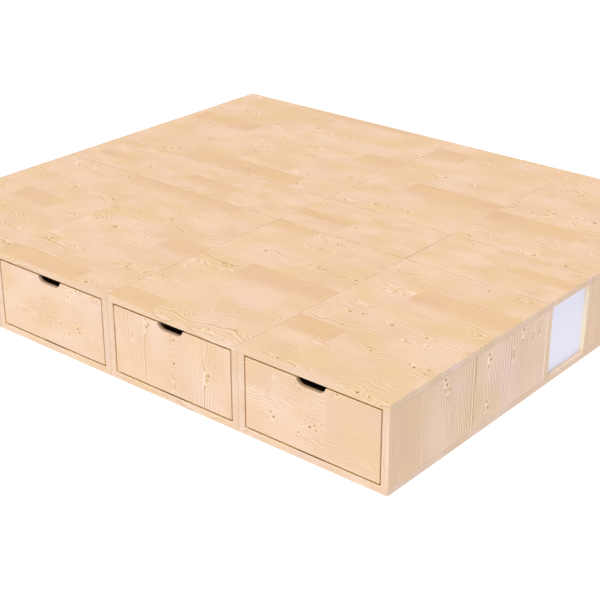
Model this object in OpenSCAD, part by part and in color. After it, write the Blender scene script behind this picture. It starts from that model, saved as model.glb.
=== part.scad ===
// Platform storage bed of solid pine, built from boxes that stand side by side:
// a front and a rear row of drawer cases, and a strip of narrow closed cases between them.
// Millimetres. X runs along the drawer fronts, the front looks along -Y, Z is up.
// The origin is on the floor, in the middle of the footprint.

/* [Layout] */
// Width of one case along the drawer fronts
module_w = 500; // [440:10:640]
// Depth of a drawer case, front to back
case_d = 750; // [500:10:900]
// Depth of the middle strip
strip_d = 250; // [180:10:400]
// Height of the bed platform above the floor
bed_h = 262; // [240:1:340]
// Cases in each row
columns = 4; // [2:1:4]
// Gap between neighbouring drawer cases
seam = 0.6; // [0.4:0.1:0.9]
// Gap between neighbouring cases of the middle strip
strip_seam = 1.4; // [0.4:0.1:3]
// Gap between the middle strip and the rows of drawer cases
row_seam = 0.9; // [0.4:0.1:0.9]

/* [Case boards] */
// Thickness of the top panels
top_t = 20; // [17:1:30]
// Thickness of the bottom panels
bottom_t = 20; // [17:1:30]
// Thickness of the drawer cases' side panels
side_t = 22; // [18:1:30]
// Thickness of the strip cases' upright panels
upright_t = 22; // [16:1:26]
// Rounding of the boards' edges
edge_r = 1; // [0.5:0.5:4]

/* [Case backs] */
// Thickness of the white back boards
back_t = 4; // [3:0.5:8]
// How far a back board lies in from the case's rear edge
back_inset = 12; // [5:1:20]
// Depth of the grooves that hold a back board
back_groove = 5; // [3:0.5:8]
// Play of a back board in the depth and the thickness of its groove
back_play = 0.2; // [0.1:0.05:0.4]

/* [Case fastenings] */
// Diameter of the dowels under the top panels
dowel_d = 8; // [6:1:10]
// Length of the dowels
dowel_l = 36; // [24:2:40]
// Depth of the dowel holes in the top panels
dowel_in_top = 12; // [8:1:14]
// Distance of a case's outer dowels and screws from the ends of its boards
fastener_inset = 80; // [40:5:110]
// Shank diameter of the case screws
case_screw_d = 5; // [3.5:0.5:6]
// Length of the case screws
case_screw_l = 50; // [36:2:60]
// Head diameter of the case screws
case_screw_head_d = 10; // [8:0.5:12]
// Diameter of the bolts that join neighbouring drawer cases
bolt_d = 6; // [5:1:8]
// Diameter of the joining bolts' flat caps
bolt_cap_d = 15; // [12:1:18]
// Thickness of the joining bolts' flat caps
bolt_cap_t = 2.5; // [1.5:0.5:3]
// Width across flats of the cap's hexagon socket
bolt_socket_af = 4; // [3:0.5:5]
// Height of the joining bolts above the drawer sides
bolt_rise = 15; // [11:1:20]
// Play of dowels, screws and bolts in their holes, on the radius
hole_play = 0.1; // [0.05:0.05:0.3]

/* [Drawer front] */
// Thickness of the drawer front
front_t = 12; // [11:1:16]
// Gap between the drawer front and the side panels
front_gap_side = 5; // [3:0.5:8]
// Gap between the drawer front and the top panel
front_gap_top = 6.5; // [3:0.5:10]
// Gap between the drawer front and the bottom panel
front_gap_bottom = 7; // [3:0.5:10]
// Depth of the finger cut below the front's top edge
finger_depth = 18; // [12:0.5:23]
// Radius of the finger cut's two ends
finger_r = 24; // [23:1:32]
// Distance between the centres of the finger cut's two ends
finger_span = 50; // [30:5:120]

/* [Drawer box] */
// Thickness of the drawer's side boards
box_side_t = 12; // [12:0.5:18]
// Thickness of the drawer's back board
box_back_t = 12; // [9:1:18]
// Thickness of the drawer's bottom board
box_bottom_t = 5; // [4:0.5:8]
// How far the drawer sides stay below the front's top edge
side_drop = 45; // [35:1:80]
// How far the drawer back stays below the drawer sides
back_drop = 10; // [0:1:30]
// Height of the drawer bottom above the drawer's lower edge
bottom_rise = 10; // [6:1:20]
// Depth of the grooves that hold the drawer bottom
bottom_groove = 5; // [3:0.5:6]
// Depth that the drawer sides are let into the front
front_rabbet = 5; // [3:0.5:6]
// Depth that the drawer back is let into the sides
back_dado = 3; // [2:0.5:4]
// Length of the sides behind the drawer back
box_tail = 10; // [4:1:30]
// Play of the drawer's boards in their grooves
box_play = 0.15; // [0.1:0.05:0.3]
// Space behind the closed drawer
rear_space = 32; // [15:1:80]

/* [Drawer runners] */
// Height of the wooden runners
runner_h = 16; // [12:1:22]
// Height of the runners above the drawer's lower edge
runner_rise = 72; // [40:1:90]
// Depth of the runner grooves in the drawer sides
runner_groove = 5.5; // [4:0.5:6.5]
// Play between runner and groove roof, floor and front end
runner_play = 0.5; // [0.3:0.1:1]
// Play above a runner, where the drawer hangs on it
hang_play = 0.3; // [0.2:0.05:0.5]
// How far the runners end ahead of the drawer sides
runner_setback = 20; // [5:1:60]
// Shank diameter of the runner screws
runner_screw_d = 3.5; // [3:0.5:4.5]
// Head diameter of the runner screws
runner_screw_head_d = 7; // [6:0.5:9]
// Length of the runner screws
runner_screw_l = 25; // [16:1:27]
// Screws in each runner
runner_screws = 3; // [2:1:5]
// Distance of the outer runner screws from the runner's ends
runner_screw_inset = 40; // [20:5:80]

/* [Hidden] */
$fn = 48;
rows = ["front", "rear"];

// Outer sizes of one drawer case and one strip case
case_w = module_w - seam;
case_len = case_d - row_seam / 2;
strip_w = module_w - strip_seam;
strip_len = strip_d - row_seam;
side_h = bed_h - top_t - bottom_t;
side_z = bottom_t;
bed_d = 2 * case_d + strip_d;

// Front face of a drawer case's back board
back_y = case_len - back_inset - back_t;

// The drawer's outline in its case
box_x = side_t + front_gap_side;
box_w = case_w - 2 * box_x;
box_z = bottom_t + front_gap_bottom;
front_h = side_h - front_gap_top - front_gap_bottom;
box_side_h = front_h - side_drop;
box_len = back_y - rear_space;
box_back_y = box_len - box_tail - box_back_t;
box_bottom_z = box_z + bottom_rise;

// The runner between case side and drawer side
runner_t = front_gap_side + runner_groove - runner_play;
runner_y = front_t + runner_play;
runner_len = box_len - runner_setback - runner_y;
runner_z = box_z + runner_rise;

// The joining bolts
bolt_z = box_z + box_side_h + bolt_rise;
bolt_grip = 2 * side_t + seam;
bolt_socket_depth = bolt_cap_t / 2;

// Extra length of cutters past the faces they open
over = 1;

pine = "#e9c99a";
pine_pale = "#f1d9b4";
pine_tan = "#deb887";
board_white = "#efeef6";
steel = "#b9bcc0";
beech = "#d9b38c";

// Left edge of a column on the bed, counted from 0
function column_x(i) = (i - columns / 2) * module_w;
// Places of the two outer fastenings along a board
function fastener_places(length) = [fastener_inset, length - fastener_inset];

// Placing

// Puts a drawer case's own frame (front left lower corner) at its place on the bed.
// Both rows count their cases from the left, as someone facing their drawers sees them.
module at_case(row, i) {
    rotate([0, 0, row == "front" ? 0 : 180])
        translate([column_x(i) + seam / 2, -bed_d / 2, 0]) children();
}

// Puts a strip case's own frame at its place, with its closed end outwards at x = 0
module at_strip(i) {
    y = case_d + row_seam / 2 - bed_d / 2;
    if (i < columns / 2) {
        translate([column_x(i) + strip_seam / 2, y, 0]) children();
    } else {
        translate([column_x(i + 1) - strip_seam / 2, y, 0]) mirror([1, 0, 0]) children();
    }
}

// Repeats a piece of the left side on the right side of a drawer case
module both_sides() {
    children();
    translate([case_w, 0, 0]) mirror([1, 0, 0]) children();
}

// Repeats a piece of the front upright on the rear upright of a strip case
module both_uprights() {
    children();
    translate([0, strip_len, 0]) mirror([0, 1, 0]) children();
}

// Shared shapes

module round_rect(w, h) {
    translate([edge_r, 0]) square([w - 2 * edge_r, h]);
    translate([0, edge_r]) square([w, h - 2 * edge_r]);
    for (x = [edge_r, w - edge_r], y = [edge_r, h - edge_r]) translate([x, y]) circle(edge_r);
}

// A board with all its edges rounded
module board(size) {
    intersection() {
        linear_extrude(size.z) round_rect(size.x, size.y);
        translate([0, size.y, 0]) rotate([90, 0, 0]) linear_extrude(size.y) round_rect(size.x, size.z);
        rotate([90, 0, 90]) linear_extrude(size.x) round_rect(size.y, size.z);
    }
}

// A countersunk screw that points down from its head at z = 0, or its hole
module screw(d, head_d, length, play = 0) {
    head_h = (head_d - d) / 2;
    translate([0, 0, -head_h]) cylinder(r1 = d / 2 + play, r2 = head_d / 2 + play, h = head_h);
    translate([0, 0, -length - play]) cylinder(r = d / 2 + play, h = length + play);
}

// The dowels of one upright board's top edge, or their holes
module dowel_row(x_mid, length, play = 0) {
    for (y = fastener_places(length))
        translate([x_mid, y, bed_h - top_t + dowel_in_top - dowel_l - play])
            cylinder(r = dowel_d / 2 + play, h = dowel_l + 2 * play);
}

// The screws that come up through a bottom panel into one upright board, or their holes
module screw_row(x_mid, length, play = 0) {
    for (y = fastener_places(length))
        translate([x_mid, y, 0]) rotate([180, 0, 0])
            screw(case_screw_d, case_screw_head_d, case_screw_l, play);
}

module case_fastening_holes() {
    both_sides() {
        dowel_row(side_t / 2, case_len, hole_play);
        screw_row(side_t / 2, case_len, hole_play);
    }
}

// Turns rows of dowels or screws along the middle of a strip case's uprights
module along_uprights() {
    both_uprights() translate([0, upright_t / 2, 0])
        rotate([0, 0, 90]) mirror([0, 1, 0]) children();
}

module strip_fastening_holes() {
    along_uprights() {
        dowel_row(0, strip_w, hole_play);
        screw_row(0, strip_w, hole_play);
    }
}

// Back boards

// The back board of a drawer case, or with play the groove around it
module case_back(play = 0) {
    reach = back_groove - back_play + play;
    translate([side_t - reach, back_y - play, side_z - reach])
        cube([case_w - 2 * side_t + 2 * reach, back_t + 2 * play, side_h + 2 * reach]);
}

// The back board of a strip case, or with play the groove around it
module strip_back(play = 0) {
    reach = back_groove - back_play + play;
    translate([back_inset - play, upright_t - reach, side_z - reach])
        cube([back_t + 2 * play, strip_len - 2 * upright_t + 2 * reach, side_h + 2 * reach]);
}

// Drawer cases

module case_top_panel() {
    difference() {
        translate([0, 0, bed_h - top_t]) board([case_w, case_len, top_t]);
        case_back(back_play);
        case_fastening_holes();
    }
}

module case_bottom_panel() {
    difference() {
        board([case_w, case_len, bottom_t]);
        case_back(back_play);
        case_fastening_holes();
    }
}

// The joining bolts' places on one side of a case, in its own frame
module bolt_places() {
    for (y = fastener_places(case_len)) translate([0, y, bolt_z]) children();
}

// The left side panel, drilled for bolts where another case stands against it
module case_side_panel(joined) {
    difference() {
        translate([0, 0, side_z]) board([side_t, case_len, side_h]);
        case_back(back_play);
        case_fastening_holes();
        translate([side_t, 0, 0]) runner_screw_places() runner_screw(hole_play);
        if (joined) bolt_places() translate([-over, 0, 0]) rotate([0, 90, 0])
            cylinder(r = bolt_d / 2 + hole_play, h = side_t + 2 * over);
    }
}

// Both side panels of a case that may be the first or the last of its row
module case_side_pair(first, last) {
    case_side_panel(!first);
    translate([case_w, 0, 0]) mirror([1, 0, 0]) case_side_panel(!last);
}

// A bolt through two neighbouring side panels, capped on both ends
module joining_bolt() {
    rotate([0, 90, 0]) {
        translate([0, 0, -bolt_grip / 2]) cylinder(r = bolt_d / 2, h = bolt_grip);
        for (end = [0, 1]) mirror([0, 0, end]) translate([0, 0, bolt_grip / 2]) difference() {
            cylinder(r = bolt_cap_d / 2, h = bolt_cap_t);
            translate([0, 0, bolt_cap_t - bolt_socket_depth])
                cylinder(r = bolt_socket_af / sqrt(3), h = bolt_socket_depth + over, $fn = 6);
        }
    }
}

module joining_bolts() {
    color(steel) for (row = rows, i = [1:columns - 1])
        at_case(row, i) translate([-seam / 2, 0, 0]) bolt_places() joining_bolt();
}

// Middle strip

module strip_panel(z, thickness) {
    difference() {
        translate([0, 0, z]) board([strip_w, strip_len, thickness]);
        strip_back(back_play);
        strip_fastening_holes();
    }
}

module strip_upright() {
    difference() {
        translate([0, 0, side_z]) board([strip_w, upright_t, side_h]);
        strip_back(back_play);
        strip_fastening_holes();
    }
}

// Drawer, in the frame of its case

module finger_cut() {
    z = box_z + front_h - finger_depth + finger_r;
    translate([case_w / 2, -over, z]) rotate([-90, 0, 0]) {
        for (x = [-1, 1]) translate([x * finger_span / 2, 0, 0])
            cylinder(r = finger_r, h = front_t + 2 * over);
        translate([-finger_span / 2, -finger_r, 0])
            cube([finger_span, 2 * finger_r, front_t + 2 * over]);
    }
}

// The drawer bottom, or with play the groove around it
module box_bottom(play = 0) {
    reach = bottom_groove - box_play + play;
    inner_x = box_x + box_side_t;
    inner_w = box_w - 2 * box_side_t;
    front_y = front_t - reach;
    length = box_len - front_y + (play > 0 ? over : 0);
    translate([inner_x - reach, front_y, box_bottom_z - play])
        cube([inner_w + 2 * reach, length, box_bottom_t + 2 * play]);
}

// The drawer back, or with play the dadoes around it
module box_back(play = 0) {
    reach = back_dado - box_play + play;
    inner_x = box_x + box_side_t;
    inner_w = box_w - 2 * box_side_t;
    z = box_bottom_z + box_bottom_t + box_play;
    top = box_z + box_side_h - back_drop;
    translate([inner_x - reach, box_back_y - play, z])
        cube([inner_w + 2 * reach, box_back_t + 2 * play, top - z + (play > 0 ? back_drop + over : 0)]);
}

// The left drawer side with the groove that hangs on the runner
module box_side() {
    groove_z = runner_z - runner_play;
    groove_h = runner_h + runner_play + hang_play;
    start_y = front_t - front_rabbet;
    difference() {
        translate([box_x, start_y, box_z]) cube([box_side_t, box_len - start_y, box_side_h]);
        translate([box_x - over, front_t, groove_z])
            cube([runner_groove + over, box_len, groove_h]);
        box_bottom(box_play);
        box_back(box_play);
    }
}

module box_front() {
    rabbet = front_rabbet + box_play;
    difference() {
        translate([box_x, 0, box_z]) board([box_w, front_t, front_h]);
        finger_cut();
        box_bottom(box_play);
        both_sides() translate([box_x - over, front_t - rabbet, box_z - over])
            cube([box_side_t + box_play + over, rabbet + over, box_side_h + box_play + over]);
    }
}

// Runners

module runner_screw_places() {
    first = runner_y + runner_screw_inset;
    last = runner_y + runner_len - runner_screw_inset;
    for (k = [0:runner_screws - 1])
        translate([0, first + k * (last - first) / (runner_screws - 1), runner_z + runner_h / 2])
            children();
}

// A screw whose head is flush with the runner's inner face, seen from the case side's face
module runner_screw(play = 0) {
    translate([runner_t, 0, 0]) rotate([0, 90, 0])
        screw(runner_screw_d, runner_screw_head_d, runner_screw_l, play);
}

module runner() {
    difference() {
        translate([side_t, runner_y, runner_z]) cube([runner_t, runner_len, runner_h]);
        translate([side_t, 0, 0]) runner_screw_places() runner_screw(hole_play);
    }
}

module drawer_runners() {
    color(beech) for (row = rows, i = [0:columns - 1]) at_case(row, i) both_sides() runner();
}

module all_runner_screws() {
    color(steel) for (row = rows, i = [0:columns - 1]) at_case(row, i) both_sides()
        translate([side_t, 0, 0]) runner_screw_places() runner_screw();
}

// Dowels and screws of all the cases

module case_dowels() {
    color(beech) {
        for (row = rows, i = [0:columns - 1]) at_case(row, i)
            both_sides() dowel_row(side_t / 2, case_len);
        for (i = [0:columns - 1]) at_strip(i) along_uprights() dowel_row(0, strip_w);
    }
}

module case_screws() {
    color(steel) {
        for (row = rows, i = [0:columns - 1]) at_case(row, i)
            both_sides() screw_row(side_t / 2, case_len);
        for (i = [0:columns - 1]) at_strip(i) along_uprights() screw_row(0, strip_w);
    }
}

// Nodes

module row_node(row, i) {
    color(pine) at_case(row, i) case_top_panel();
    color(pine_pale) at_case(row, i) box_front();
    color(pine) at_case(row, i) both_sides() box_side();
    color(pine) at_case(row, i) box_back();
    color(pine_pale) at_case(row, i) box_bottom();
}

for (row = rows) {
    for (i = [0:columns - 1]) row_node(row, i);
    color(pine_tan)
        for (i = [0:columns - 1]) at_case(row, i) case_side_pair(i == 0, i == columns - 1);
    color(pine_tan)
        for (i = [0:columns - 1]) at_case(row, i) case_bottom_panel();
    color(board_white)
        for (i = [0:columns - 1]) at_case(row, i) case_back();
}
for (i = [0:columns - 1]) color(pine) at_strip(i) strip_panel(bed_h - top_t, top_t);
color(pine_tan)  // strip_uprights
    for (i = [0:columns - 1]) at_strip(i) both_uprights() strip_upright();
color(pine_tan)  // strip_bottom_panels
    for (i = [0:columns - 1]) at_strip(i) strip_panel(0, bottom_t);
color(board_white)  // strip_back_boards
    for (i = [0:columns - 1]) at_strip(i) strip_back();
case_dowels();
case_screws();
joining_bolts();
drawer_runners();
all_runner_screws();  // runner_screws
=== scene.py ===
"""Storage bed: materials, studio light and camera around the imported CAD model.

Lengths are in metres, in the model's own frame, unless a name says otherwise.
Colours are sRGB numbers from 0 to 255, and become linear where a node takes them.
"""

import math

import bpy
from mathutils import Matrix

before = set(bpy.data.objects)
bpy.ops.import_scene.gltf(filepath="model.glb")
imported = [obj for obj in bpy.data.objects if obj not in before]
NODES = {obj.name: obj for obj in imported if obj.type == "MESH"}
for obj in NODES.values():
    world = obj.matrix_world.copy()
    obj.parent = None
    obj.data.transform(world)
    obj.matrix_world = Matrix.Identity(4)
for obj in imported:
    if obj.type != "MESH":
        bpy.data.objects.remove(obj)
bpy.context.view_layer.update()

# Sizes of the bed

COLUMNS = 4
CASE_W = 0.5
DECK_TOP = 0.262
FRONT_FACE = -0.875
REAR_FACE = 0.875
BOTTOM_T = 0.02
RECESS_HALF_D = 0.1025
FINGER_HALF_W = 0.05

# Colours

DEEP = (238, 204, 161)
PALE = (246, 214, 185)
TAN = (234, 196, 152)
LATE_GAIN = (0.66, 0.50, 0.28, 1.0)
EARLY_GAIN = (1.20, 1.33, 1.55, 1.0)
FINE_GAIN = (0.975, 0.96, 0.945, 1.0)
EDGE_GAIN = (0.965, 0.98, 1.03, 1.0)
# Painted shade in the seams between the strip and the two rows.
CROSS_SEAM_SHADE = (0.74, 0.72, 0.66, 1.0)
# Painted shade on the walls of the finger cuts, which lie in the gap under the top panel.
FINGER_CUT_SHADE = (0.60, 0.58, 0.54, 1.0)
# Painted light on the faces of the strip's uprights inside the recess.
RECESS_SIDE_LIGHT = (255, 242, 214)
# Painted light on the strip's bottom panels, where their upper face shows in the recess.
RECESS_LEDGE_LIGHT = (248, 223, 195)
# A painted highlight along the inner end of the front side panels.
STRIPE_HIGHLIGHT = (255, 228, 200)
# Painted light: a painted highlight on the drawer fronts' edges, and painted light in the gaps on the
# drawer fronts' sides and the bottom panels' upper faces.
PAINTED_GAP_LIGHT = (255, 232, 196)
KNOT_FLARE = (245, 215, 165)
KNOT_HEART = (150, 106, 66)
JOINT_LINE = (238, 228, 218)
PLY_FACE = (240, 214, 172)
PLY_CORE = (206, 170, 122)
BEECH = (226, 180, 140)
BEECH_FLECK = (190, 138, 100)
BOARD_WHITE = (246, 244, 254)
# Painted light along the white boards' rims in the recess.
BOARD_RIM_LIGHT = (255, 252, 254)
ZINC = (196, 199, 204)
FLOOR_WHITE = (255, 255, 255)

# Where the painted light and shade on the boards begin and end: the painted shade in the seams beside
# the strip, the painted highlight on the last stave of the front side panels, the painted light in the
# recess and on the upper faces, the painted shade on the finger cuts and the painted light on the white
# boards' rims.
CROSS_SEAM = (0.128, 0.130)
LAST_STRIPE = (-0.1355, -0.1335)
RECESS_SOFT = 0.001
BOTTOM_SOFT = 0.002
FINGER_SOFT = 0.003
RIM_W = 0.010

# A surface faces an axis once its normal's part along that axis has gone from the first number to the
# second: with its rounded edges, along a curved wall, and on the flat alone.
TURNED = (0.3, 0.7)
CURVED = (0.3, 0.8)
FLAT = (0.6, 0.9)

# Staves of pine: their width and length, how random the lengths are, where the glue line beside them
# fades, how sharply and softly the darker staves end, and how dark a stave has to be to count as one.
STAVE_W = 0.1165
STAVE_L = 0.34
STAVE_SPREAD = 0.8
SIDE_STAVE_W = 0.1235
FRONT_STAVE_W = 0.13
GLUE_LINE = (0.0001, 0.0005)
SHARP = 0.005
SOFT = 0.060
TAN_START = 0.3

# What differs from board to board: how bold the rings are, how far the pith wanders, how far it lies to
# one side, the share of places that have a knot, the first row with knots along its middle, how much of
# a rosier, cooler cast is painted on upright boards for the light on them, the width and length of its
# staves, and the pitch of its rings.
WOOD = {"rings": 0.56, "drift": 1.0, "quarter": 0.0, "knots": 0.5, "knot_row": 0.0, "blush": 0.0,
        "width": STAVE_W, "length": STAVE_L, "pitch": 0.0095}
STRIP_KNOTS = 0.3

# Steps that give each row, seed, board and kind of stave random numbers of its own, and the most by
# which the numbers of one board can differ.
ROW_STEP = 7.31
SEED_STEP = 3.77
BOARD_STEP = 5.3
DRAWER_STEP = 2.7
SECOND_STEP = 57.3
KNOT_ROW_STEP = 3.3
KNOT_SEED_STEP = 9.1
HUE_STEP = 40.0
TAN_STEP = 31.7
NUMBER_GAP = 0.1

# Knots of pine: how close they lie, in how many rows they repeat, how far beside a row's middle and how
# far astray, their size and its range, their shape, the length and width over which they bend the rings
# and make them bold, and where the heart and the glow around it fade, in sizes of the knot.
KNOT_PITCH = 0.10
KNOT_ROWS = 3
KNOT_BESIDE = 0.36
KNOT_STRAY = 0.020
KNOT_SIZE = 0.0022
KNOT_SIZE_RANGE = 0.0016
KNOT_ALONG = 0.7
KNOT_DEEP = 0.8
KNOT_BEND = (0.026, 0.010)
KNOT_LIVELY = (0.110, 0.024)
KNOT_HEART_FADE = (0.6, 1.35)
KNOT_GLOW_FADE = (1.0, 3.2)
FAR = 100.0

# Rings of pine, which start at the pith. Waves are counted per metre along the grain, over the staves
# and into the board, except that the pith's are per metre along the grain and per stave, and those of
# the uneven rings per metre from the pith and per stave.
PITH_WAVES = (6.0, 5.0, 0.0)
PITH_WANDER = 0.12
PITH_STRAY = 0.13
PITH_DEPTH = 0.012
PITH_DEPTH_RANGE = 0.020
QUARTER_SIDE = 0.25
WOBBLE_WAVES = (9.0, 30.0, 30.0)
WOBBLE = 0.005
RIPPLE_WAVES = (60.0, 80.0, 80.0)
RIPPLE = 0.003
BEND = 0.018
UNEVEN_WAVES = (55.0, 1.0, 0.0)
UNEVEN = 1.2
FIRST_RING_RANGE = 20.0
FINE_RINGS = 3.63

# Where late and early wood lie within a ring, from 0 to 1, and how narrow they get over the pith.
LATE_MIDDLE = 0.86
LATE_FADE = (0.05, 0.13)
EARLY_RISE = 0.06
EARLY_FADE = (0.14, 0.42)
OVER_PITH = 0.6
OVER_PITH_WIDTH = 0.3

# Patches where the rings are bold, how faint they are elsewhere, how bold the knots make them, and how
# much calmer they are in darker staves and on end grain.
PATCH_WAVES = (3.0, 17.0, 0.0)
PATCH_STRAY = 0.16
PATCH_EDGE = 0.10
FAINT = 0.05
KNOT_BOLD = 0.9
TAN_CALM = 0.85
END_CALM = 0.5

# Fibres and tints of pine. CAST is how far its patches of hue move red, green and blue, SHADE and SHARE
# are how strongly each feature darkens and colours the wood, RELIEF is how far it stands up or lies
# deep, and ROUGH is the wood's roughness with what fibres and late wood add.
FIBRE_WAVES = (16.0, 620.0, 620.0)
STREAK_WAVES = (5.0, 95.0, 95.0)
CLOUD_WAVES = (6.0, 9.0, 0.0)
HUE_WAVES = (7.0, 11.0, 0.0)
CLOUD_RANGE = 0.25
STAVE_TINT = 0.06
TAN_SHARE = 0.75
TAN_CLOUD = 2.0
TAN_CAST = 0.8
CAST = (-0.05, -0.09, 0.10)
# How far the painted cast raises blue: a rosier, cooler tint painted on upright boards for the light on
# them.
PAINTED_CAST_BLUE = 0.075
SHADE = {"fibre": 0.10, "streak": 0.06, "stave": 0.012}
SHARE = {"fine": 0.4, "bend": 0.15, "glow": 0.6, "heart": 0.8, "line": 0.4}
RELIEF = {"fibre": 0.35, "late": 0.30, "heart": 0.5, "line": 0.5}
ROUGH = {"wood": 0.52, "fibre": 0.12, "late": 0.05}

# For each top panel: where its rows of staves start, how much smaller than STAVE_W they are, a seed,
# the first row that has knots along its middle, and its darker staves as row, start, end and how dark
# they are.
DECK = {
    "front_top_panel_1": (-0.9075, 1.0, 1.1, 0, ((3, -0.850, -0.656, 0.8), (6, -0.640, -0.500, 0.8))),
    "front_top_panel_2": (-0.9075, 1.0, 2.3, 0, ((0, -0.500, -0.150, 0.9), (3, -0.150, 0.000, 0.9),
                                                 (6, -0.500, -0.150, 0.9))),
    "front_top_panel_3": (-0.9075, 1.0, 3.6, 0, ((0, 0.000, 0.174, 0.9), (3, 0.174, 0.500, 1.0),
                                                 (6, 0.000, 0.174, 0.9))),
    "front_top_panel_4": (-0.8500, 1.0, 4.2, 1, ((1, 0.500, 0.670, 1.0), (4, 0.676, 1.000, 1.0))),
    "strip_top_panel_1": (-0.1300, 0.6, 5.7, 1, ((1, -0.940, -0.790, 0.9),)),
    "strip_top_panel_2": (-0.1300, 0.6, 6.4, 1, ((1, -0.528, -0.288, 1.0),)),
    "strip_top_panel_3": (-0.1300, 0.6, 7.9, 1, ((1, -0.025, 0.215, 1.0),)),
    "strip_top_panel_4": (-0.1000, 0.6, 8.8, 1, ((1, 0.785, 1.000, 1.0),)),
    "rear_top_panel_1": (0.1605, 1.0, 12.6, 1, ((1, 0.503, 0.822, 1.0),)),
    "rear_top_panel_2": (0.0900, 1.0, 11.8, 2, ((2, 0.147, 0.500, 1.0), (5, 0.000, 0.147, 0.9))),
    "rear_top_panel_3": (0.1085, 1.0, 10.2, 0, ((0, -0.500, -0.175, 0.9), (3, -0.175, 0.000, 0.9),
                                                (6, -0.500, -0.175, 0.9))),
    "rear_top_panel_4": (0.1085, 1.0, 9.5, 0, ((0, -0.670, -0.500, 0.9), (3, -0.970, -0.678, 0.9),
                                               (6, -0.655, -0.500, 0.9))),
}

# The painted light and shade on each top panel's edges that look along the bed, as brightness beside
# the
# wood around them: above 1 is painted light and below 1 painted shade in the column seams.
SEAM_LIGHT_AND_SHADE = {"front_top_panel_1": 1.08, "front_top_panel_2": 0.90, "front_top_panel_3": 1.03,
             "front_top_panel_4": 0.97, "strip_top_panel_1": 1.26, "strip_top_panel_2": 1.36,
             "strip_top_panel_3": 1.08, "strip_top_panel_4": 0.97, "rear_top_panel_1": 0.97,
             "rear_top_panel_2": 1.16, "rear_top_panel_3": 0.92, "rear_top_panel_4": 1.12}

# Knots where the photograph has them, as place along the grain, across it, and size.
END_KNOTS = ((0.216, -0.628, 0.0034), (0.197, -0.615, 0.0026), (0.207, -0.422, 0.0036),
             (0.060, -0.422, 0.0036), (0.176, -0.300, 0.0020), (0.215, -0.250, 0.0010),
             (0.190, -0.195, 0.0010), (0.205, -0.160, 0.0010))
FRONT_KNOTS = {
    "front_drawer_2": ((-0.135, 0.109, 0.0032), (-0.125, 0.117, 0.0022), (-0.128, 0.100, 0.0024),
                       (-0.259, 0.095, 0.0026), (-0.175, 0.081, 0.0020), (-0.171, 0.204, 0.0018),
                       (-0.275, 0.167, 0.0022), (-0.132, 0.233, 0.0022), (-0.114, 0.230, 0.0018),
                       (-0.059, 0.232, 0.0018)),
    "front_drawer_3": ((0.208, 0.159, 0.0030), (0.218, 0.167, 0.0022), (0.200, 0.262, 0.0030),
                       (0.128, 0.261, 0.0032), (0.056, 0.262, 0.0016), (0.133, 0.391, 0.0032),
                       (0.120, 0.389, 0.0024), (0.167, 0.101, 0.0016)),
    "front_drawer_4": ((0.714, 0.208, 0.0020), (0.615, 0.106, 0.0022), (0.625, 0.093, 0.0030),
                       (0.748, 0.108, 0.0034), (0.762, 0.117, 0.0022), (0.768, 0.104, 0.0024),
                       (0.709, 0.078, 0.0022), (0.835, 0.233, 0.0026), (0.607, 0.163, 0.0016)),
}

# Side panels, whose rings stand steeply on the face. Some of them have their grain lying.
SIDE = {"rings": 1.25, "drift": 0.15, "quarter": 0.45, "knots": 0.0, "blush": 0.4, "length": 2.0,
        "pitch": 0.0075, "width": SIDE_STAVE_W}
FRONT_CROSSED = (2, 4, 6)
REAR_CROSSED = (1, 3, 5)
FRONT_SIDE_TAN = ((-1, 0.0, DECK_TOP, 0.7), (0, 0.0, DECK_TOP, 0.7))
REAR_SIDE_TAN = ((-1, 0.0, DECK_TOP, 0.5), (0, 0.0, DECK_TOP, 0.5))

# Bottom panels: a seed, where their rows of staves start, the colour of the painted light on their
# upper face, and their painted cast.
BOTTOMS = {"front": (4.1, -0.85, PAINTED_GAP_LIGHT, 0.5), "rear": (6.7, 0.15, PAINTED_GAP_LIGHT, 0.5),
           "strip": (3.3, -0.14, RECESS_LEDGE_LIGHT, 0.0)}

# Drawer fronts. In one column their grain stands, and in the others it lies.
STANDING_COLUMN = 3
STANDING = {"rings": 0.65, "first_row": 0.03, "pitch": 0.007, "length": 2.0, "quarter": 0.4,
            "drift": 0.4}
LYING = {"rings": 0.35, "first_row": 0.035, "pitch": 0.007, "length": 0.6, "width": FRONT_STAVE_W,
         "drift": 0.4}
FRONT_TAN = {"front_drawer_4": ((0, 0.800, 1.0, 0.45), (1, 0.800, 1.0, 0.45), (1, 0.50, 0.62, 0.4))}
# The painted cast of the drawer fronts, for the light on their upright faces.
FRONT_PAINTED_CAST = 0.8

# The other materials, with their waves per metre along X, Y and Z.
PLY_SWIRL_WAVES = (9.0, 2.2, 0.0)
PLY_FIBRE_WAVES = (500.0, 14.0, 0.0)
PLY_BANDS = 9.0
PLY_SLANT = 6.0
PLY_BAND_EDGE = (0.5, 0.95)
PLY_BAND_SHARE = 0.35
PLY_LAYERS = 640.0
PLY_LAYER_EDGE = (0.45, 0.55)
PLY_SHADE = 0.10
PLY_ROUGH = 0.5
BEECH_FIBRE_WAVES = (420.0, 12.0, 420.0)
BEECH_FLECK_WAVES = (900.0, 190.0, 900.0)
BEECH_FLECK_EDGE = (0.12, 0.24)
BEECH_FLECK_SHARE = 0.6
BEECH_SHADE = 0.22
BEECH_ROUGH = 0.45
BOARD_SKIN_WAVES = (900.0, 900.0, 900.0)
BOARD_CLOUD_WAVES = (7.0, 7.0, 7.0)
BOARD_SHADE = 0.02
BOARD_ROUGH = 0.45
BOARD_ROUGH_RANGE = 0.08
ZINC_WAVES = (320.0, 320.0, 320.0)
ZINC_SHADE = 0.2
ZINC_ROUGH = 0.34
ZINC_ROUGH_RANGE = 0.2
BUMP_STRENGTH = 0.6
WOOD_BUMP = 0.0002
BOARD_BUMP = 0.00008
ZINC_BUMP = 0.00005

# Camera and light

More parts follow.
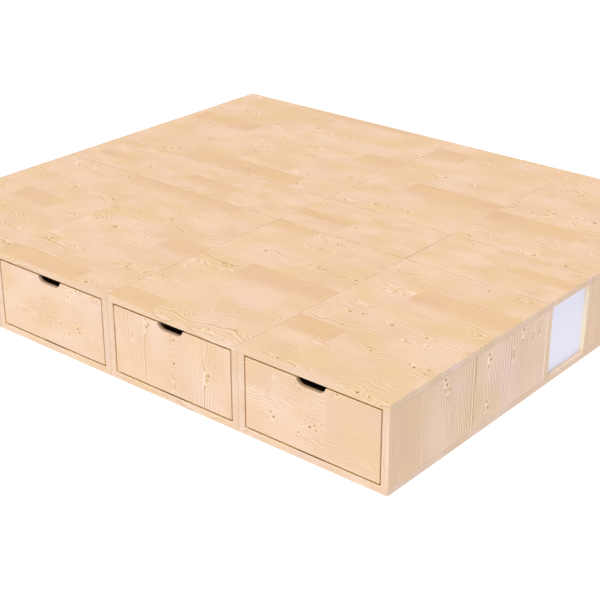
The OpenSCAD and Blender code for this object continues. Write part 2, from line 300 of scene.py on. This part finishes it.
CAMERA_PLACE = (2.7056, -3.2615, 1.9086)
CAMERA_TURN = (64.979, 0.005, 39.826)
CAMERA_LENS_MM = 83.062
CAMERA_SENSOR_MM = 36.0
CAMERA_CLIP_END = 200.0

SKY_STRENGTH = 0.36
FLOOR_GLOW = 1.0
FLOOR_GAIN = 0.2
FLOOR_SIZE = 80.0
KEY_STRENGTH = 2.32
KEY_COLOUR = (255, 250, 246)
KEY_TURN = (21.0, 0.0, 8.2)
FILL_STRENGTH = 0.3
FILL_COLOUR = (60, 120, 255)
FILL_TURN = (80.0, 0.0, 90.0)
SUN_WIDTH = 25.0


def linear(colour, gain=1.0):
    """An sRGB colour times gain, as the linear RGBA that a shader socket takes."""
    channels = []
    for value in colour:
        part = value / 255
        part = part / 12.92 if part <= 0.04045 else ((part + 0.055) / 1.055) ** 2.4
        channels.append(part * gain)
    return (*channels, 1.0)


# Shader formulas


class Field:
    """A number or a colour that varies over a surface: one output of a shader node."""

    def __init__(self, graph, socket):
        self.graph = graph
        self.socket = socket

    def __add__(self, other):
        return self.graph.math("ADD", self, other)

    def __sub__(self, other):
        return self.graph.math("SUBTRACT", self, other)

    def __rsub__(self, other):
        return self.graph.math("SUBTRACT", other, self)

    def __mul__(self, other):
        return self.graph.math("MULTIPLY", self, other)

    def __truediv__(self, other):
        return self.graph.math("DIVIDE", self, other)

    def __abs__(self):
        return self.graph.math("ABSOLUTE", self)


class Graph:
    """A shader node tree, with one short method for each kind of node used here."""

    def __init__(self, tree):
        self.tree = tree

    def add(self, kind, **settings):
        node = self.tree.nodes.new("ShaderNode" + kind)
        for name, value in settings.items():
            setattr(node, name, value)
        return node

    def feed(self, socket, value):
        if isinstance(value, Field):
            self.tree.links.new(value.socket, socket)
        else:
            socket.default_value = value

    def feed_all(self, sockets, values):
        for socket, value in zip(sockets, values):
            self.feed(socket, value)

    def math(self, operation, *values):
        node = self.add("Math", operation=operation)
        self.feed_all(node.inputs, values)
        return Field(self, node.outputs[0])

    def ramp(self, value, low, high, to_low=0.0, to_high=1.0):
        """Goes smoothly from to_low at low to to_high at high."""
        node = self.add("MapRange", interpolation_type="SMOOTHSTEP")
        self.feed_all(node.inputs, (value, low, high, to_low, to_high))
        return Field(self, node.outputs[0])

    def fall(self, value, low, high, top=1.0):
        """Goes smoothly from top at low to 0 at high."""
        return self.ramp(value, low, high, top, 0.0)

    def join(self, x, y, z):
        node = self.add("CombineXYZ")
        self.feed_all(node.inputs, (x, y, z))
        return Field(self, node.outputs[0])

    def split(self, vector):
        node = self.add("SeparateXYZ")
        self.feed(node.inputs[0], vector)
        return tuple(Field(self, output) for output in node.outputs)

    def place(self):
        """The point on the surface in the model's frame, as x, y and z."""
        return self.split(Field(self, self.add("TexCoord").outputs["Object"]))

    def normal(self):
        """The direction that the surface looks in, as x, y and z."""
        return self.split(Field(self, self.add("TexCoord").outputs["Normal"]))

    def noise(self, place, waves, shift=0.0, detail=2.0):
        """Smooth noise, from about -0.5 to 0.5, with so many waves per metre in each part of the
        place. The shift gives another pattern."""
        x, y, z = (part * wave for part, wave in zip(place, waves))
        node = self.add("TexNoise", noise_dimensions="3D")
        self.feed(node.inputs["Vector"], self.join(x, y, z + shift))
        node.inputs["Scale"].default_value = 1.0
        node.inputs["Detail"].default_value = detail
        return Field(self, node.outputs[0]) - 0.5

    def cells(self, value, spread=1.0):
        """Cuts a line into random lengths. Returns each cell's own point and the distance to its
        end."""
        near = self.add("TexVoronoi", voronoi_dimensions="1D", feature="F1")
        edge = self.add("TexVoronoi", voronoi_dimensions="1D", feature="DISTANCE_TO_EDGE")
        for node in (near, edge):
            self.feed(node.inputs["W"], value)
            node.inputs["Scale"].default_value = 1.0
            node.inputs["Randomness"].default_value = spread
        return Field(self, near.outputs["W"]), Field(self, edge.outputs["Distance"])

    def chance(self, value):
        """Three random numbers from 0 to 1 that depend only on the value."""
        node = self.add("TexWhiteNoise", noise_dimensions="1D")
        self.feed(node.inputs["W"], value)
        return self.split(Field(self, node.outputs["Color"]))

    def mix(self, amount, low, high, blend="MIX"):
        node = self.add("Mix", data_type="RGBA", blend_type=blend)
        self.feed_all((node.inputs[0], node.inputs[6], node.inputs[7]), (amount, low, high))
        return Field(self, node.outputs[2])

    def shade(self, colour, light):
        """The colour made lighter or darker by light, which is 1 where it stays as it is."""
        return self.mix(1.0, colour, self.join(light, light, light), "MULTIPLY")


def new_group(name, inputs, outputs):
    """A node group. Returns it, its graph and its inputs as fields."""
    tree = bpy.data.node_groups.new(name, "ShaderNodeTree")
    for label in inputs:
        tree.interface.new_socket(name=label, in_out="INPUT", socket_type="NodeSocketFloat")
    for label, kind in outputs:
        tree.interface.new_socket(name=label, in_out="OUTPUT", socket_type=kind)
    graph = Graph(tree)
    source = tree.nodes.new("NodeGroupInput")
    return tree, graph, {label: Field(graph, source.outputs[label]) for label in inputs}


# Pine


def shift(chance, reach):
    """A random number from 0 to 1 as a shift of at most half of reach, either way."""
    return (chance - 0.5) * reach


def bell(graph, along, across, length, width):
    """A smooth hump of that length and width, 1 in its middle."""
    return graph.math("EXPONENT", (along * along / length**2 + across * across / width**2) * -1.0)


def knot_shape(graph, along, across, through, size):
    """A knot's own fields: the distance from its heart in sizes, how far it bends the rings around it,
    and how bold it makes them."""
    long_way = along * KNOT_ALONG
    deep = through * KNOT_DEEP
    near = graph.math("SQRT", long_way * long_way + across * across + deep * deep) / size
    return near, bell(graph, along, across, *KNOT_BEND), bell(graph, along, across, *KNOT_LIVELY)


def knots_at(graph, along, across, through, spots):
    """The fields of the nearest of some knots, given as place along the grain, across it, and size."""
    near, bend, lively = FAR, 0.0, 0.0
    for at_along, at_across, size in spots:
        reach, flare, figure = knot_shape(graph, along - at_along, across - at_across, through, size)
        near = graph.math("MINIMUM", reach, near)
        bend = graph.math("MAXIMUM", flare, bend)
        lively = graph.math("MAXIMUM", figure, lively)
    return near, bend, lively


def stave_knots(graph, wood, row, offset):
    """The knots that staves have by chance, together with the knots that a board is given.

    They lie in lines: along the middle of one row in three, and beside the middle of the next.
    """
    turn = graph.math("FRACT", (row - wood["knot_row"] + 0.5) / KNOT_ROWS)
    in_line = graph.math("LESS_THAN", turn, 2 / KNOT_ROWS)
    beside = graph.math("GREATER_THAN", turn, 1 / KNOT_ROWS) * in_line
    cell = wood["along"] / KNOT_PITCH + row * KNOT_ROW_STEP + wood["seed"] * KNOT_SEED_STEP
    point, _ = graph.cells(cell)
    chance, side, size = graph.chance(point)
    there = graph.math("LESS_THAN", chance, wood["knots"]) * in_line * (1.0 - wood["tan"])
    along = (cell - point) * KNOT_PITCH
    across = offset - beside * wood["width"] * KNOT_BESIDE - shift(side, KNOT_STRAY)
    size = size * KNOT_SIZE_RANGE + KNOT_SIZE
    reach, flare, figure = knot_shape(graph, along, across, wood["through"], size)
    near = graph.math("MINIMUM", reach + (1.0 - there) * FAR, wood["near"])
    bend = graph.math("MAXIMUM", flare * there, wood["bend"])
    lively = graph.math("MAXIMUM", figure * there, wood["lively"])
    return near, bend, lively


def growth_rings(graph, wood, stave, offset, draws, bend):
    """Growth rings, as distances from a pith that wanders up and down under the face.

    Returns how much a point lies in late wood and in early wood, and its place in the fine rings.
    """
    place = (wood["along"], wood["across"], wood["through"])
    to_side, to_depth, first_ring = draws
    wander = graph.noise((wood["along"], stave, 0.0), PITH_WAVES, detail=1.0) * PITH_WANDER
    side = offset - shift(to_side, PITH_STRAY) - wood["quarter"] * QUARTER_SIDE
    depth = wood["through"] + to_depth * PITH_DEPTH_RANGE + PITH_DEPTH + wander * wood["drift"]
    wobble = graph.noise(place, WOBBLE_WAVES, stave) * WOBBLE
    ripple = graph.noise(place, RIPPLE_WAVES, stave, detail=0.0) * RIPPLE
    radius = graph.math("SQRT", side * side + depth * depth) + wobble + ripple + bend * BEND
    uneven = graph.noise((radius, stave, 0.0), UNEVEN_WAVES, detail=0.0) * UNEVEN
    phase = radius / wood["pitch"] + uneven + first_ring * FIRST_RING_RANGE
    saw = graph.math("FRACT", phase)
    steep = graph.ramp(abs(side) / radius, 0.0, OVER_PITH, OVER_PITH_WIDTH, 1.0)
    late = graph.fall(abs(saw - LATE_MIDDLE) / steep, *LATE_FADE)
    early = graph.ramp(saw, 0.0, EARLY_RISE) * graph.fall(saw / steep, *EARLY_FADE)
    return late, early, graph.math("FRACT", phase * FINE_RINGS)


def ring_strength(graph, wood, stave, draw, lively):
    """How bold the rings are: in patches, and round the knots."""
    place = (wood["along"], wood["across"], wood["through"])
    patch = graph.noise(place, PATCH_WAVES, stave) + shift(draw, PATCH_STRAY)
    bold = graph.ramp(patch, 0.0, PATCH_EDGE, FAINT, 1.0) * (1.0 - wood["tan"] * TAN_CALM)
    bold = graph.math("MINIMUM", bold + lively * KNOT_BOLD, 1.0)
    return bold * wood["rings"] * (1.0 - wood["end_cut"] * END_CALM)


def pine_group():
    """Solid pine glued up from staves: tints, growth rings, knots and fibres.

    Its inputs along, across and through are the distances along the grain, over the staves and into
    the board, end_cut is 1 on end grain, and near, bend and lively are the fields of given knots.
    """
    inputs = ("along", "across", "through", "seed", "tan", "end_cut", "near", "bend", "lively", *WOOD)
    outputs = (("colour", "NodeSocketColor"), ("height", "NodeSocketFloat"),
               ("roughness", "NodeSocketFloat"))
    tree, graph, wood = new_group("pine_staves", inputs, outputs)
    place = (wood["along"], wood["across"], wood["through"])

    row = graph.math("FLOOR", wood["across"] / wood["width"])
    offset = wood["across"] - (row + 0.5) * wood["width"]
    lengths = wood["along"] / wood["length"] + row * ROW_STEP + wood["seed"] * SEED_STEP
    point, end = graph.cells(lengths, STAVE_SPREAD)
    stave = point + graph.math("GREATER_THAN", wood["tan"], TAN_START) * TAN_STEP
    ring_draws = graph.chance(stave)
    bold_draw, cloud_draw, hue_draw = graph.chance(stave + SECOND_STEP)
    near, bend, lively = stave_knots(graph, wood, row, offset)
    heart = graph.fall(near, *KNOT_HEART_FADE)
    glow = graph.fall(near, *KNOT_GLOW_FADE)
    late, early, fine = growth_rings(graph, wood, stave, offset, ring_draws, bend)
    strength = ring_strength(graph, wood, stave, bold_draw, lively)

    fibre = graph.noise(place, FIBRE_WAVES)
    streak = graph.noise(place, STREAK_WAVES, stave)
    cloud = graph.noise(place, CLOUD_WAVES, wood["seed"]) + shift(cloud_draw, STAVE_TINT)
    hue = graph.noise(place, HUE_WAVES, wood["seed"] + HUE_STEP) + shift(hue_draw, STAVE_TINT)
    line_along = graph.fall(end * wood["length"], *GLUE_LINE) * (1.0 - wood["tan"])
    line_across = graph.fall(wood["width"] / 2 - abs(offset), *GLUE_LINE)
    line = graph.math("MAXIMUM", line_along, line_across)

    tint = graph.mix(graph.ramp(cloud, -CLOUD_RANGE, CLOUD_RANGE), linear(DEEP), linear(PALE))
    colour = graph.mix(wood["tan"] * (cloud * TAN_CLOUD + TAN_SHARE), tint, linear(TAN))
    colour = graph.mix(late * strength, colour, LATE_GAIN, "MULTIPLY")
    colour = graph.mix(early * strength, colour, EARLY_GAIN, "MULTIPLY")
    colour = graph.mix(fine * SHARE["fine"], colour, FINE_GAIN, "MULTIPLY")
    colour = graph.mix(bend * SHARE["bend"] + glow * SHARE["glow"], colour, linear(KNOT_FLARE))
    colour = graph.mix(heart * SHARE["heart"], colour, linear(KNOT_HEART))
    shade = fibre * SHADE["fibre"] + streak * SHADE["streak"]
    shade = shade + shift(ring_draws[0], SHADE["stave"]) + 1.0
    cast = hue * (wood["tan"] * TAN_CAST + 1.0)
    red, green, blue = (shade + cast * reach for reach in CAST)
    # The painted cast: more blue on upright boards, for the colour of the light on them.
    light = graph.join(red, green, blue + wood["blush"] * PAINTED_CAST_BLUE)
    colour = graph.mix(1.0, colour, light, "MULTIPLY")
    colour = graph.mix(line * SHARE["line"], colour, linear(JOINT_LINE), "MULTIPLY")

    height = fibre * RELIEF["fibre"] - late * strength * RELIEF["late"]
    height = height - heart * RELIEF["heart"] - line * RELIEF["line"]
    roughness = fibre * ROUGH["fibre"] + late * ROUGH["late"] + ROUGH["wood"]
    result = tree.nodes.new("NodeGroupOutput")
    graph.feed_all(result.inputs, (colour, height, roughness))
    return tree


def new_material(name):
    material = bpy.data.materials.new(name)
    material.use_nodes = True
    material.node_tree.nodes.clear()
    return material, Graph(material.node_tree)


def finish_material(graph, colour, roughness, height, bump=WOOD_BUMP, specular=0.3, metallic=0.0):
    """The surface shader. What is the same all over is set on its own sockets."""
    relief = graph.add("Bump")
    relief.inputs["Strength"].default_value = BUMP_STRENGTH
    relief.inputs["Distance"].default_value = bump
    graph.feed(relief.inputs["Height"], height)
    shader = graph.add("BsdfPrincipled")
    graph.feed(shader.inputs["Base Color"], colour)
    graph.feed(shader.inputs["Roughness"], roughness)
    graph.feed(shader.inputs["Normal"], Field(graph, relief.outputs[0]))
    shader.inputs["Specular IOR Level"].default_value = specular
    shader.inputs["Metallic"].default_value = metallic
    end = graph.add("OutputMaterial")
    graph.tree.links.new(shader.outputs[0], end.inputs["Surface"])


def darker_staves(graph, along, across, tan, width, soft):
    """How much a point lies in one of the darker staves, which fade towards one edge."""
    darker = 0.0
    for number, start, stop, amount in tan:
        from_middle = abs(along - (start + stop) / 2)
        half = (stop - start) / 2
        inside = graph.fall(from_middle, half - SHARP, half + SHARP, amount)
        low = number * width
        rise = graph.ramp(across, low - SHARP, low + soft)
        fall = graph.fall(across, low + width - SHARP, low + width + SHARP)
        darker = inside * rise * fall + darker
    return darker


def from_case_middle(graph, x):
    """The distance along the bed from the middle of the case that a point lies in."""
    column = graph.math("FLOOR", x / CASE_W)
    return abs(x - (column + 0.5) * CASE_W)


def finger_wall(graph, place, normal):
    """The wall of a drawer front's finger cut, which gets painted shade."""
    from_middle = from_case_middle(graph, place["x"])
    wall = graph.fall(abs(normal["y"]), *CURVED)
    return graph.fall(from_middle, FINGER_HALF_W - FINGER_SOFT, FINGER_HALF_W) * wall


def front_edges(graph, place, normal):
    """The edges of a drawer front and its sides in the gaps, paler than its face with painted light: a
    painted highlight on the rounded edges.
    """
    edge = graph.fall(abs(normal["y"]), *TURNED)
    return edge * (1.0 - finger_wall(graph, place, normal))


def column_seams(graph, place, normal):
    """The edges of a top panel that look along the bed, which get painted light and shade in the column
    seams.
    """
    return graph.ramp(abs(normal["x"]), *TURNED)


def cross_seams(graph, place, normal):
    """The edges of a top panel in the seams between the strip and the two rows, which get painted
    shade.
    """
    return graph.ramp(abs(normal["y"]), *TURNED) * graph.fall(abs(place["y"]), *CROSS_SEAM)


def recess_sides(graph, place, normal):
    """The faces of the strip's uprights that look into the recess of its closed end, which get painted
    light.
    """
    inside = graph.fall(abs(place["y"]), RECESS_HALF_D, RECESS_HALF_D + RECESS_SOFT)
    return graph.ramp(abs(normal["y"]), *FLAT) * inside


def upper_face(graph, place, normal):
    """The upper face of a bottom panel, which gets painted light where it shows in a gap or in the
    recess.
    """
    return graph.ramp(normal["z"], *FLAT) * graph.ramp(place["z"], BOTTOM_T - BOTTOM_SOFT, BOTTOM_T)


def last_stripe(graph, place, normal):
    """A painted highlight: a pale stripe along the inner end of the front side panels."""
    return graph.ramp(place["y"], *LAST_STRIPE) * graph.ramp(abs(normal["x"]), *FLAT)


def pine_material(name, grain, rows, seed, first_row=0.0, face=0.0, tan=(), spots=(), marks=(),
                  scale=1.0, soft=SHARP, board_w=None, crossed=(), **own):
    """Pine with its grain along one axis and its staves side by side along another.

    first_row is where the rows of staves start, face is where the board's face lies, and scale makes
    the whole pattern smaller. tan lists darker staves as row, start, end and amount, and soft is how
    far they fade. spots lists knots. marks lists functions that say where a second colour lies, with
    that colour and how it is mixed in. Where one node holds several boards, board_w is how often they
    repeat along X, so that each gets a seed of its own, and crossed has the numbers of the boards
    whose grain runs crosswise. Whatever else is given takes the place of a value of WOOD.
    """
    material, graph = new_material(name)
    place = dict(zip("xyz", graph.place()))
    normal = dict(zip("xyz", graph.normal()))
    through = ({"x", "y", "z"} - {grain, rows}).pop()
    along = place[grain] / scale
    across = (place[rows] - first_row) / scale
    depth = (place[through] - face) / scale
    values = {**WOOD, **own}
    if board_w:
        board = graph.math("FLOOR", (place["x"] + COLUMNS * CASE_W / 2) / board_w)
        seed = board * BOARD_STEP + seed
        if through == "x":
            depth = CASE_W / 2 - from_case_middle(graph, place["x"])
        for number in crossed:
            turned = graph.math("COMPARE", board, float(number), NUMBER_GAP)
            change = (across - along) * turned
            along = along + change
            across = across - change
            values["quarter"] = turned + values["quarter"]
    edge = graph.fall(abs(normal[through]), *TURNED)
    darker = darker_staves(graph, place[grain], across, tan, values["width"], soft)
    near, bend, lively = knots_at(graph, place[grain], place[rows], depth, spots)
    values.update(along=along, across=across, through=depth, seed=seed, tan=(1.0 - edge) * darker,
                  end_cut=edge, near=near, bend=bend, lively=lively)
    node = graph.add("Group")
    node.node_tree = PINE
    for label, value in values.items():
        graph.feed(node.inputs[label], value)
    colour, height, roughness = (Field(graph, output) for output in node.outputs)
    colour = graph.mix(edge, colour, EDGE_GAIN, "MULTIPLY")
    for where, second, blend in marks:
        colour = graph.mix(where(graph, place, normal), colour, second, blend)
    finish_material(graph, colour, roughness, height)
    return material


# Other materials


def plywood_material():
    """Rotary-cut ply: wide wandering figure on the face, and layers on the edge."""
    material, graph = new_material("plywood")
    place = graph.place()
    x, _, z = place
    _, _, up = graph.normal()
    swirl = graph.noise(place, PLY_SWIRL_WAVES, detail=3.0)
    bands = graph.math("FRACT", swirl * PLY_BANDS + x * PLY_SLANT)
    fibre = graph.noise(place, PLY_FIBRE_WAVES)
    layer = graph.math("FRACT", z * PLY_LAYERS)
    dark_bands = graph.ramp(bands, *PLY_BAND_EDGE) * PLY_BAND_SHARE
    face = graph.mix(dark_bands, linear(PLY_FACE), linear(PLY_CORE))
    face = graph.shade(face, fibre * PLY_SHADE + 1.0)
    sides = graph.mix(graph.ramp(layer, *PLY_LAYER_EDGE), linear(PLY_FACE), linear(PLY_CORE))
    edge = graph.fall(abs(up), *TURNED)
    finish_material(graph, graph.mix(edge, face, sides), PLY_ROUGH, fibre)
    return material


def beech_material():
    """Beech, with its short dark flecks along the grain."""
    material, graph = new_material("beech")
    place = graph.place()
    fibre = graph.noise(place, BEECH_FIBRE_WAVES, detail=3.0)
    fleck = graph.noise(place, BEECH_FLECK_WAVES, detail=0.0)
    flecks = graph.ramp(fleck, *BEECH_FLECK_EDGE) * BEECH_FLECK_SHARE
    colour = graph.mix(flecks, linear(BEECH), linear(BEECH_FLECK))
    colour = graph.shade(colour, fibre * BEECH_SHADE + 1.0)
    finish_material(graph, colour, BEECH_ROUGH, fibre)
    return material


def white_board_material():
    """A white coated hardboard with a fine pebbled skin, and painted light along its rims at the sides
    and the bottom.
    """
    material, graph = new_material("white_board")
    place = graph.place()
    _, y, z = place
    skin = graph.noise(place, BOARD_SKIN_WAVES)
    cloud = graph.noise(place, BOARD_CLOUD_WAVES, detail=1.0)
    # The rims at the sides and the bottom get painted light.
    side = graph.ramp(abs(y), RECESS_HALF_D - RIM_W, RECESS_HALF_D)
    rim = graph.math("MAXIMUM", side, graph.fall(z, BOTTOM_T, BOTTOM_T + RIM_W))
    colour = graph.mix(rim, linear(BOARD_WHITE), linear(BOARD_RIM_LIGHT))
    colour = graph.shade(colour, cloud * BOARD_SHADE + 1.0)
    finish_material(graph, colour, skin * BOARD_ROUGH_RANGE + BOARD_ROUGH, skin, BOARD_BUMP)
    return material


def zinc_material():
    """Zinc-plated steel with the faint turned marks of a screw."""
    material, graph = new_material("zinc")
    patina = graph.noise(graph.place(), ZINC_WAVES)
    colour = graph.shade(linear(ZINC), patina * ZINC_SHADE + 1.0)
    roughness = patina * ZINC_ROUGH_RANGE + ZINC_ROUGH
    finish_material(graph, colour, roughness, patina, ZINC_BUMP, specular=0.5, metallic=1.0)
    return material


# Which board gets what


def dress(name, material):
    for slot in NODES[name].material_slots:
        slot.material = material


def dress_deck():
    """Top panels, each with the darker staves where the photograph has them."""
    for name, (first_row, scale, seed, knot_row, tan) in DECK.items():
        gain = SEAM_LIGHT_AND_SHADE[name]
        # Painted shade in the cross seams, and painted light and shade in the column seams.
        marks = ((cross_seams, CROSS_SEAM_SHADE, "MULTIPLY"),
                 (column_seams, (gain, gain, gain, 1.0), "MULTIPLY"))
        own = {"scale": scale, "soft": SOFT, "knot_row": float(knot_row), "marks": marks}
        if scale < 1.0:
            own["knots"] = STRIP_KNOTS
        dress(name, pine_material(f"pine_{name}", "x", "y", seed, first_row, DECK_TOP, tan, **own))


def dress_sides():
    """Side panels. Those of the front cases have the knots that show on the bed's right end."""
    stripe = ((last_stripe, linear(STRIPE_HIGHLIGHT), "MIX"),)
    front = pine_material("pine_front_sides", "z", "y", seed=2.2, first_row=-0.8605, marks=stripe,
                          tan=FRONT_SIDE_TAN, spots=END_KNOTS, board_w=CASE_W / 2,
                          crossed=FRONT_CROSSED, **SIDE)
    rear = pine_material("pine_rear_sides", "z", "y", seed=8.4, first_row=0.15, tan=REAR_SIDE_TAN,
                         board_w=CASE_W / 2, crossed=REAR_CROSSED, **SIDE)
    dress("front_side_panels", front)
    dress("rear_side_panels", rear)


def dress_bottoms():
    """Bottom panels, which are paler with painted light where they show in a gap or in the recess."""
    for row, (seed, first_row, upper_light, blush) in BOTTOMS.items():
        marks = ((upper_face, linear(upper_light), "MIX"),)
        pine = pine_material(f"pine_{row}_bottoms", "x", "y", seed, first_row, marks=marks,
                             board_w=CASE_W, blush=blush)
        dress(f"{row}_bottom_panels", pine)


def dress_uprights():
    """The strip's uprights, whose faces in the recess are paler with painted light."""
    recess_light = ((recess_sides, linear(RECESS_SIDE_LIGHT), "MIX"),)
    uprights = pine_material("pine_uprights", "z", "x", seed=5.9, first_row=0.05, marks=recess_light,
                             board_w=CASE_W / 2, drift=0.3, knots=0.0)
    dress("strip_uprights", uprights)


def dress_drawers():
    # Painted light on the fronts' edges and in the gaps around them, and painted shade on the finger
    # cuts' walls.
    marks = ((front_edges, linear(PAINTED_GAP_LIGHT), "MIX"), (finger_wall, FINGER_CUT_SHADE, "MULTIPLY"))
    for row, face in (("front", FRONT_FACE), ("rear", REAR_FACE)):
        for column in range(1, COLUMNS + 1):
            name = f"{row}_drawer_{column}"
            grain, rows, own = ("z", "x", STANDING) if column == STANDING_COLUMN else ("x", "z", LYING)
            own = {**own, "tan": FRONT_TAN.get(name, ()), "marks": marks, "blush": FRONT_PAINTED_CAST}
            if name in FRONT_KNOTS:
                own.update(knots=0.0, spots=FRONT_KNOTS[name])
            seed = column * DRAWER_STEP + face
            dress(f"{name}_front", pine_material(f"pine_{name}", grain, rows, seed, face=face, **own))
            dress(f"{name}_sides", PINE_BOX_SIDES)
            dress(f"{name}_back", PINE_BOX_BACK)
            dress(f"{name}_bottom", PLYWOOD)


def dress_rest():
    for name in ("front_back_boards", "rear_back_boards", "strip_back_boards"):
        dress(name, WHITE_BOARD)
    for name in ("case_dowels", "drawer_runners"):
        dress(name, BEECH_WOOD)
    for name in ("case_screws", "joining_bolts", "runner_screws"):
        dress(name, ZINC_STEEL)


# Studio


def make_camera():
    data = bpy.data.cameras.new("camera")
    data.lens = CAMERA_LENS_MM
    data.sensor_fit = "HORIZONTAL"
    data.sensor_width = CAMERA_SENSOR_MM
    data.clip_end = CAMERA_CLIP_END
    camera = bpy.data.objects.new("camera", data)
    camera.location = CAMERA_PLACE
    camera.rotation_euler = [math.radians(angle) for angle in CAMERA_TURN]
    bpy.context.scene.collection.objects.link(camera)
    bpy.context.scene.camera = camera


def make_floor():
    """A pale studio floor that is evenly lit from below, so that it shows no edge."""
    half = FLOOR_SIZE / 2
    mesh = bpy.data.meshes.new("floor")
    corners = [(-half, -half, 0.0), (half, -half, 0.0), (half, half, 0.0), (-half, half, 0.0)]
    mesh.from_pydata(corners, [], [(0, 1, 2, 3)])
    floor = bpy.data.objects.new("floor", mesh)
    bpy.context.scene.collection.objects.link(floor)
    material, graph = new_material("floor")
    shader = graph.add("BsdfPrincipled")
    shader.inputs["Base Color"].default_value = linear(FLOOR_WHITE, FLOOR_GAIN)
    shader.inputs["Roughness"].default_value = 1.0
    shader.inputs["Specular IOR Level"].default_value = 0.0
    shader.inputs["Emission Color"].default_value = linear(FLOOR_WHITE)
    shader.inputs["Emission Strength"].default_value = FLOOR_GLOW
    end = graph.add("OutputMaterial")
    graph.tree.links.new(shader.outputs[0], end.inputs["Surface"])
    mesh.materials.append(material)


def make_sun(name, strength, colour, turn):
    data = bpy.data.lights.new(name, "SUN")
    data.energy = strength
    data.color = linear(colour)[:3]
    data.angle = math.radians(SUN_WIDTH)
    sun = bpy.data.objects.new(name, data)
    sun.rotation_euler = [math.radians(angle) for angle in turn]
    bpy.context.scene.collection.objects.link(sun)


def make_sky():
    world = bpy.data.worlds.new("studio")
    bpy.context.scene.world = world
    world.use_nodes = True
    back = world.node_tree.nodes["Background"]
    back.inputs["Color"].default_value = (1.0, 1.0, 1.0, 1.0)
    back.inputs["Strength"].default_value = SKY_STRENGTH


make_camera()
make_floor()
make_sky()
make_sun("key", KEY_STRENGTH, KEY_COLOUR, KEY_TURN)
make_sun("fill", FILL_STRENGTH, FILL_COLOUR, FILL_TURN)
bpy.context.scene.view_settings.view_transform = "Standard"
bpy.context.scene.view_settings.look = "None"

PINE = pine_group()
PINE_BOX_SIDES = pine_material("pine_box_sides", "y", "z", seed=12.6, first_row=-0.02,
                               board_w=CASE_W / 2)
PINE_BOX_BACK = pine_material("pine_box_back", "x", "z", seed=9.8, first_row=-0.02)
PLYWOOD = plywood_material()
BEECH_WOOD = beech_material()
WHITE_BOARD = white_board_material()
ZINC_STEEL = zinc_material()
dress_deck()
dress_sides()
dress_bottoms()
dress_uprights()
dress_drawers()
dress_rest()
